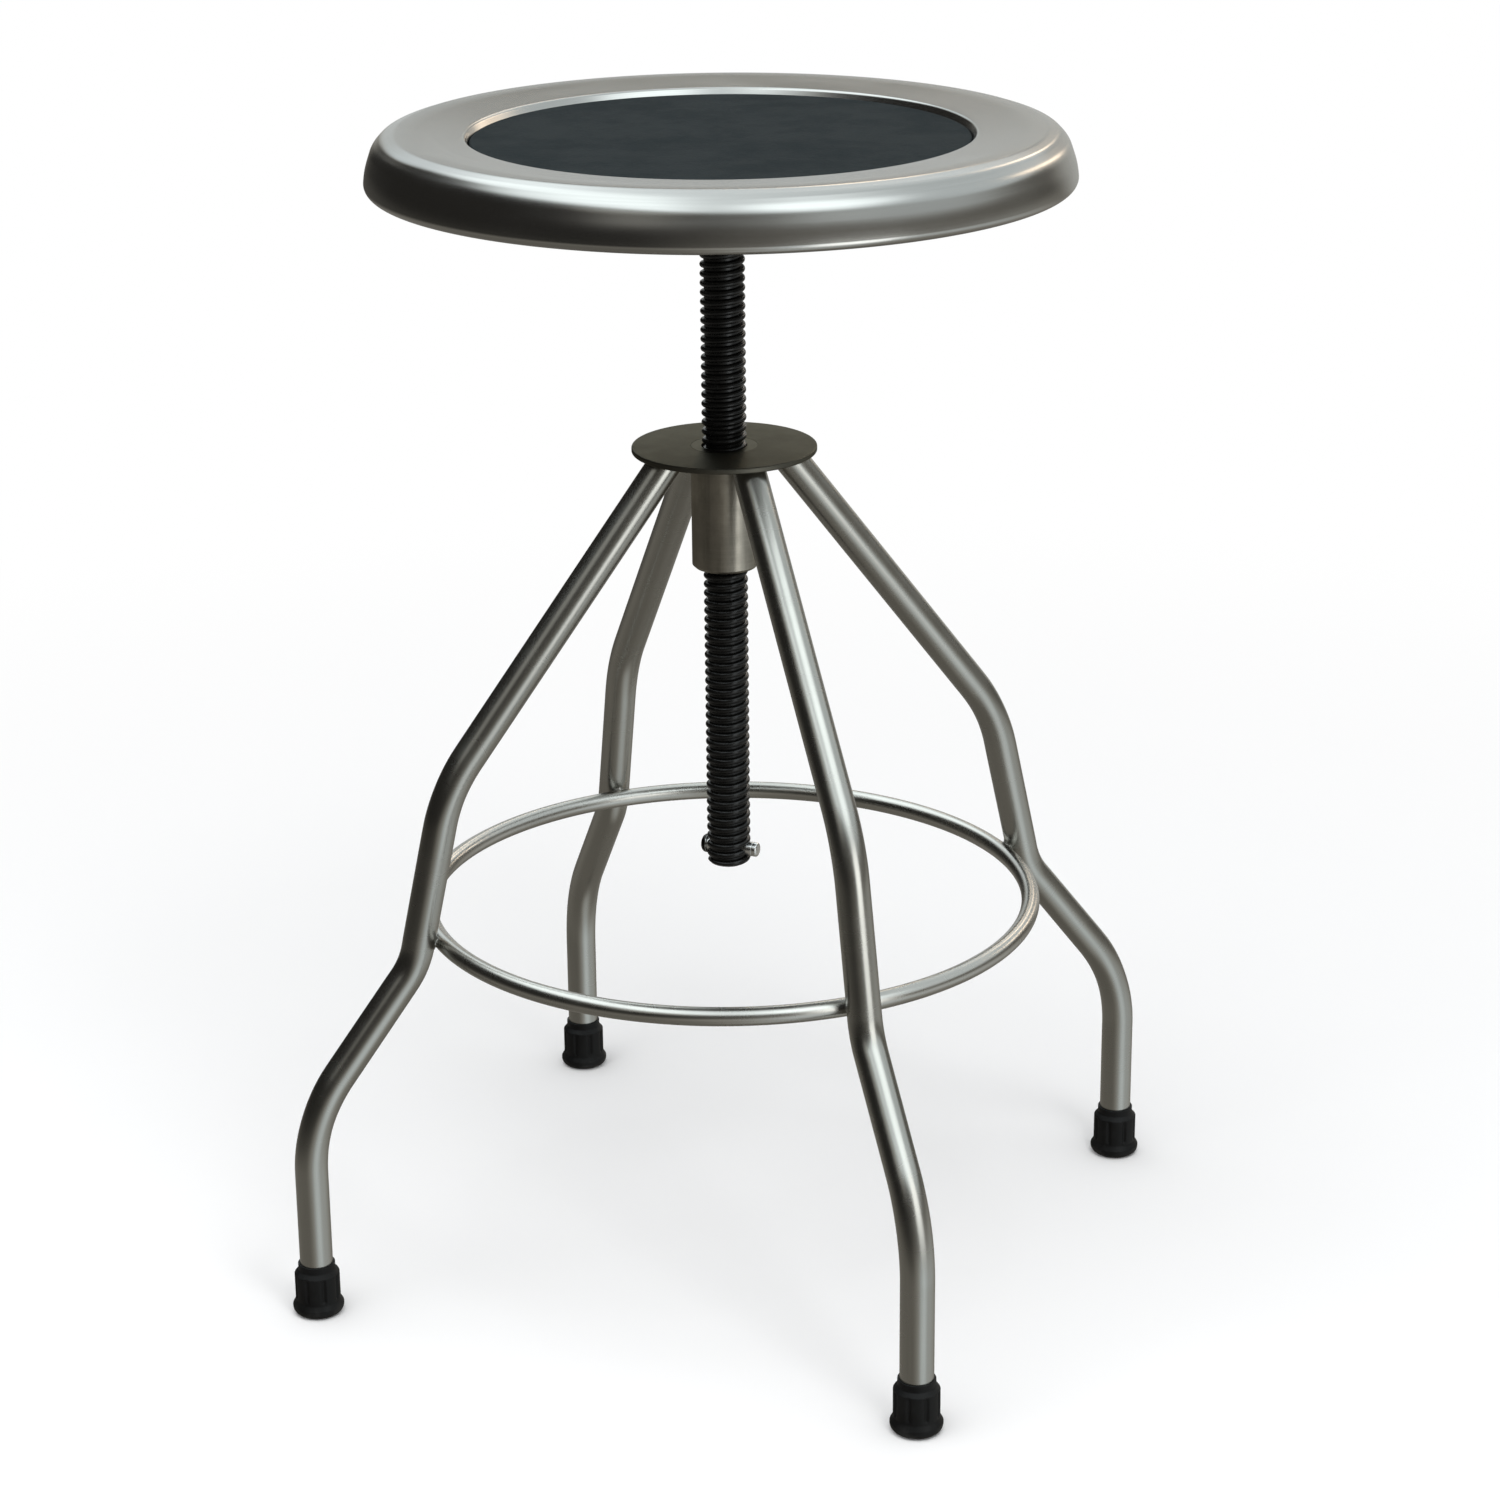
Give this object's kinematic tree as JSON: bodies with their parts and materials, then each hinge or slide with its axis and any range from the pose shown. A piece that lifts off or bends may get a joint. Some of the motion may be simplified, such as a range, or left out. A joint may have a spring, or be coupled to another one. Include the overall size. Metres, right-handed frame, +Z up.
{
  "type": "medical exam stool",
  "caption": "Round-seated exam stool on splayed bent-tube legs with a foot ring; turning the seat raises or lowers it on a central screw.",
  "frame": {"origin": "on the floor, under the lifting screw's axis, midway between the four feet", "axes": "+Z up along the screw; the legs stand on the diagonals of X and Y; the stop pin lies along X"},
  "size_m": [0.3774, 0.3774, 0.634],
  "materials": {
    "satin_steel_pan": "satin stainless sheet",
    "seat_pad": "matt black mat with a fine grain",
    "zinc_hardware": "plain zinc plate",
    "black_screw": "blackened steel, lightly oiled",
    "bright_pin": "bright turned steel",
    "hub_steel": "dull machined steel",
    "satin_steel_tube": "satin stainless tube",
    "polished_ring": "bright stainless rod",
    "black_rubber": "moulded black rubber",
    "tip_steel": "plain steel"
  },
  "bodies": {
    "base": {"hub_plate": "hub_steel", "hub_collar": "hub_steel", "foot_ring": "polished_ring", "ring_welds": "polished_ring", "leg_1": "satin_steel_tube", "leg_2": "satin_steel_tube", "leg_3": "satin_steel_tube", "leg_4": "satin_steel_tube", "foot_tip_1": "black_rubber", "foot_tip_2": "black_rubber", "foot_tip_3": "black_rubber", "foot_tip_4": "black_rubber", "tip_washer_1": "tip_steel", "tip_washer_2": "tip_steel", "tip_washer_3": "tip_steel", "tip_washer_4": "tip_steel"},
    "lift": {"bump_washer": "black_rubber"},
    "seat": {"seat_pan": "satin_steel_pan", "seat_pad": "seat_pad", "seat_flange": "zinc_hardware", "seat_studs": "zinc_hardware", "stud_washers": "zinc_hardware", "stud_nuts": "zinc_hardware", "screw_socket": "zinc_hardware", "socket_pin": "zinc_hardware", "lift_screw": "black_screw", "stop_pin": "bright_pin"}
  },
  "joints": [
    {"name": "seat_lift", "type": "slide", "parent": "base", "child": "lift", "axis": [0, 0, 1], "range_m": [-0.11145, 0.15631]},
    {"name": "seat_turn", "type": "hinge", "parent": "lift", "child": "seat", "pos_m": [0, 0, 0.5], "axis": [0, 0, 1], "range_deg": [-8010, 11240]}
  ],
  "couplings": [
    {"joint": "seat_lift", "follows": "seat_turn", "m_per_rad": 0.00079577}
  ]
}
